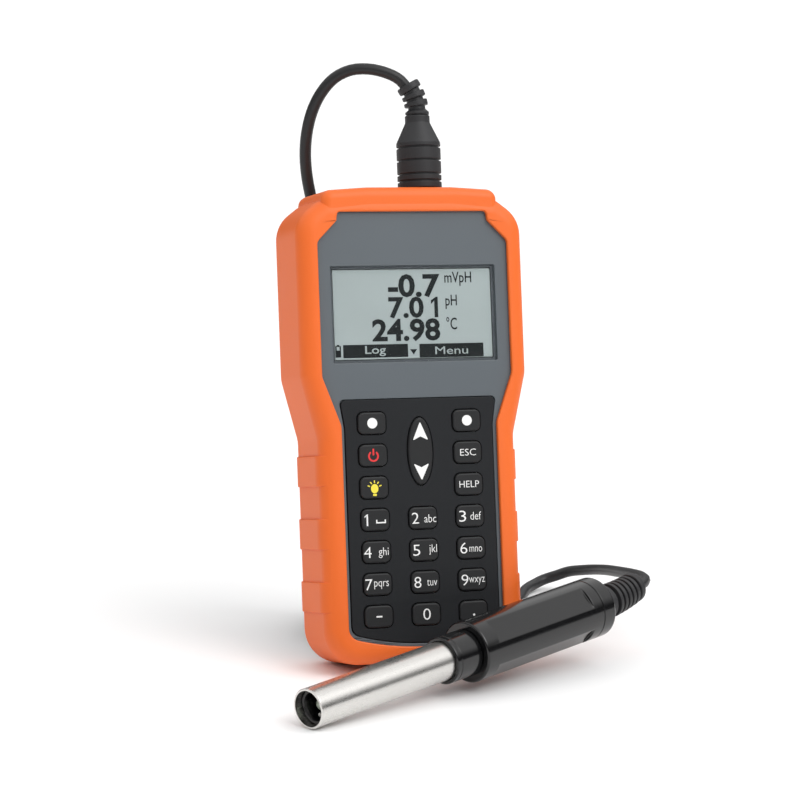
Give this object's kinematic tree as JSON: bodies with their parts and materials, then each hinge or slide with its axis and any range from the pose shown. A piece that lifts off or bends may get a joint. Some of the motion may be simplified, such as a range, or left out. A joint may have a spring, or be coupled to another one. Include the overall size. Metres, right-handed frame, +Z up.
{
  "type": "water quality probe with hand-held meter",
  "caption": "Hand-held water quality meter in an orange rubber boot, leaning back, with a stainless probe on a coiled cable lying in front of it.",
  "frame": {"origin": "on the surface the meter and probe stand on, under the middle of their common box; cable and plug aren't counted", "axes": "+X to the right of the keypad, +Y from the keypad towards the meter's back, +Z up; the meter leans back 11 degrees about X"},
  "size_m": [0.1927, 0.2055, 0.2332],
  "materials": {
    "boot_orange": "moulded soft orange rubber, satin",
    "case_grey": "fine satin grey moulding",
    "key_black": "matt black elastomer",
    "gloss_black": "polished black moulding",
    "soft_black": "matt black",
    "window_clear": "clear polished plate",
    "display_green": "pale green-grey liquid crystal",
    "milky_white": "milky light guide and film",
    "board_green": "green solder mask",
    "steel": "ground stainless steel",
    "cell_skin": "printed metal can",
    "bulb_glass": "thin greenish glass"
  },
  "bodies": {
    "meter_and_probe": {"rubber_boot": "boot_orange", "front_shell": "case_grey", "rear_shell": "case_grey", "case_gasket": "soft_black", "display_window": "window_clear", "lcd_panel": "display_green", "lcd_backlight": "milky_white", "keypad_overlay": "key_black", "dome_sheet": "milky_white", "main_board": "board_green", "battery_holder": "soft_black", "battery_1": "cell_skin", "battery_2": "cell_skin", "battery_3": "cell_skin", "battery_4": "cell_skin", "battery_cover": "case_grey", "battery_cover_seal": "soft_black", "cover_screw_1": "steel", "cover_screw_2": "steel", "cover_screw_3": "steel", "cover_screw_4": "steel", "probe_socket": "soft_black", "socket_seal": "soft_black", "socket_nut": "steel", "sensor_sleeve": "steel", "sensor_body": "gloss_black", "glass_bulb": "bulb_glass", "temperature_pin": "steel", "sleeve_collar": "gloss_black", "probe_handle": "gloss_black", "signal_board": "board_green", "handle_end_cap": "gloss_black", "probe_strain_relief": "soft_black", "cord_loop": "soft_black", "cord_coil": "soft_black", "cord_lead": "soft_black", "coil_tie": "soft_black"},
    "key_soft_left": {"key_soft_left": "key_black"},
    "key_power": {"key_power": "key_black"},
    "key_light": {"key_light": "key_black"},
    "key_1": {"key_1": "key_black"},
    "key_4": {"key_4": "key_black"},
    "key_7": {"key_7": "key_black"},
    "key_minus": {"key_minus": "key_black"},
    "key_2": {"key_2": "key_black"},
    "key_5": {"key_5": "key_black"},
    "key_8": {"key_8": "key_black"},
    "key_0": {"key_0": "key_black"},
    "key_soft_right": {"key_soft_right": "key_black"},
    "key_escape": {"key_escape": "key_black"},
    "key_help": {"key_help": "key_black"},
    "key_3": {"key_3": "key_black"},
    "key_6": {"key_6": "key_black"},
    "key_9": {"key_9": "key_black"},
    "key_point": {"key_point": "key_black"},
    "arrow_rocker": {"arrow_rocker": "key_black"},
    "plug": {"plug_body": "soft_black", "plug_insert": "steel", "plug_strain_relief": "soft_black"}
  },
  "joints": [
    {"name": "press_soft_left", "type": "slide", "parent": "meter_and_probe", "child": "key_soft_left", "axis": [0, 0.9816, -0.1908], "range_m": [0, 0.0008], "stiffness_N_per_m": 400},
    {"name": "press_power", "type": "slide", "parent": "meter_and_probe", "child": "key_power", "axis": [0, 0.9816, -0.1908], "range_m": [0, 0.0008], "stiffness_N_per_m": 400},
    {"name": "press_light", "type": "slide", "parent": "meter_and_probe", "child": "key_light", "axis": [0, 0.9816, -0.1908], "range_m": [0, 0.0008], "stiffness_N_per_m": 400},
    {"name": "press_1", "type": "slide", "parent": "meter_and_probe", "child": "key_1", "axis": [0, 0.9816, -0.1908], "range_m": [0, 0.0008], "stiffness_N_per_m": 400},
    {"name": "press_4", "type": "slide", "parent": "meter_and_probe", "child": "key_4", "axis": [0, 0.9816, -0.1908], "range_m": [0, 0.0008], "stiffness_N_per_m": 400},
    {"name": "press_7", "type": "slide", "parent": "meter_and_probe", "child": "key_7", "axis": [0, 0.9816, -0.1908], "range_m": [0, 0.0008], "stiffness_N_per_m": 400},
    {"name": "press_minus", "type": "slide", "parent": "meter_and_probe", "child": "key_minus", "axis": [0, 0.9816, -0.1908], "range_m": [0, 0.0008], "stiffness_N_per_m": 400},
    {"name": "press_2", "type": "slide", "parent": "meter_and_probe", "child": "key_2", "axis": [0, 0.9816, -0.1908], "range_m": [0, 0.0008], "stiffness_N_per_m": 400},
    {"name": "press_5", "type": "slide", "parent": "meter_and_probe", "child": "key_5", "axis": [0, 0.9816, -0.1908], "range_m": [0, 0.0008], "stiffness_N_per_m": 400},
    {"name": "press_8", "type": "slide", "parent": "meter_and_probe", "child": "key_8", "axis": [0, 0.9816, -0.1908], "range_m": [0, 0.0008], "stiffness_N_per_m": 400},
    {"name": "press_0", "type": "slide", "parent": "meter_and_probe", "child": "key_0", "axis": [0, 0.9816, -0.1908], "range_m": [0, 0.0008], "stiffness_N_per_m": 400},
    {"name": "press_soft_right", "type": "slide", "parent": "meter_and_probe", "child": "key_soft_right", "axis": [0, 0.9816, -0.1908], "range_m": [0, 0.0008], "stiffness_N_per_m": 400},
    {"name": "press_escape", "type": "slide", "parent": "meter_and_probe", "child": "key_escape", "axis": [0, 0.9816, -0.1908], "range_m": [0, 0.0008], "stiffness_N_per_m": 400},
    {"name": "press_help", "type": "slide", "parent": "meter_and_probe", "child": "key_help", "axis": [0, 0.9816, -0.1908], "range_m": [0, 0.0008], "stiffness_N_per_m": 400},
    {"name": "press_3", "type": "slide", "parent": "meter_and_probe", "child": "key_3", "axis": [0, 0.9816, -0.1908], "range_m": [0, 0.0008], "stiffness_N_per_m": 400},
    {"name": "press_6", "type": "slide", "parent": "meter_and_probe", "child": "key_6", "axis": [0, 0.9816, -0.1908], "range_m": [0, 0.0008], "stiffness_N_per_m": 400},
    {"name": "press_9", "type": "slide", "parent": "meter_and_probe", "child": "key_9", "axis": [0, 0.9816, -0.1908], "range_m": [0, 0.0008], "stiffness_N_per_m": 400},
    {"name": "press_point", "type": "slide", "parent": "meter_and_probe", "child": "key_point", "axis": [0, 0.9816, -0.1908], "range_m": [0, 0.0008], "stiffness_N_per_m": 400},
    {"name": "rock_arrows", "type": "hinge", "parent": "meter_and_probe", "child": "arrow_rocker", "pos_m": [-0.0122, 0.01939, 0.08533], "axis": [1, 0, 0], "range_deg": [-2.5, 2.5], "stiffness_Nm_per_rad": 0.34},
    {"name": "pull_plug", "type": "slide", "parent": "meter_and_probe", "child": "plug", "axis": [0, 0.1908, 0.9816], "range_m": [0, 0.012], "deforming": ["cord_loop"]}
  ]
}
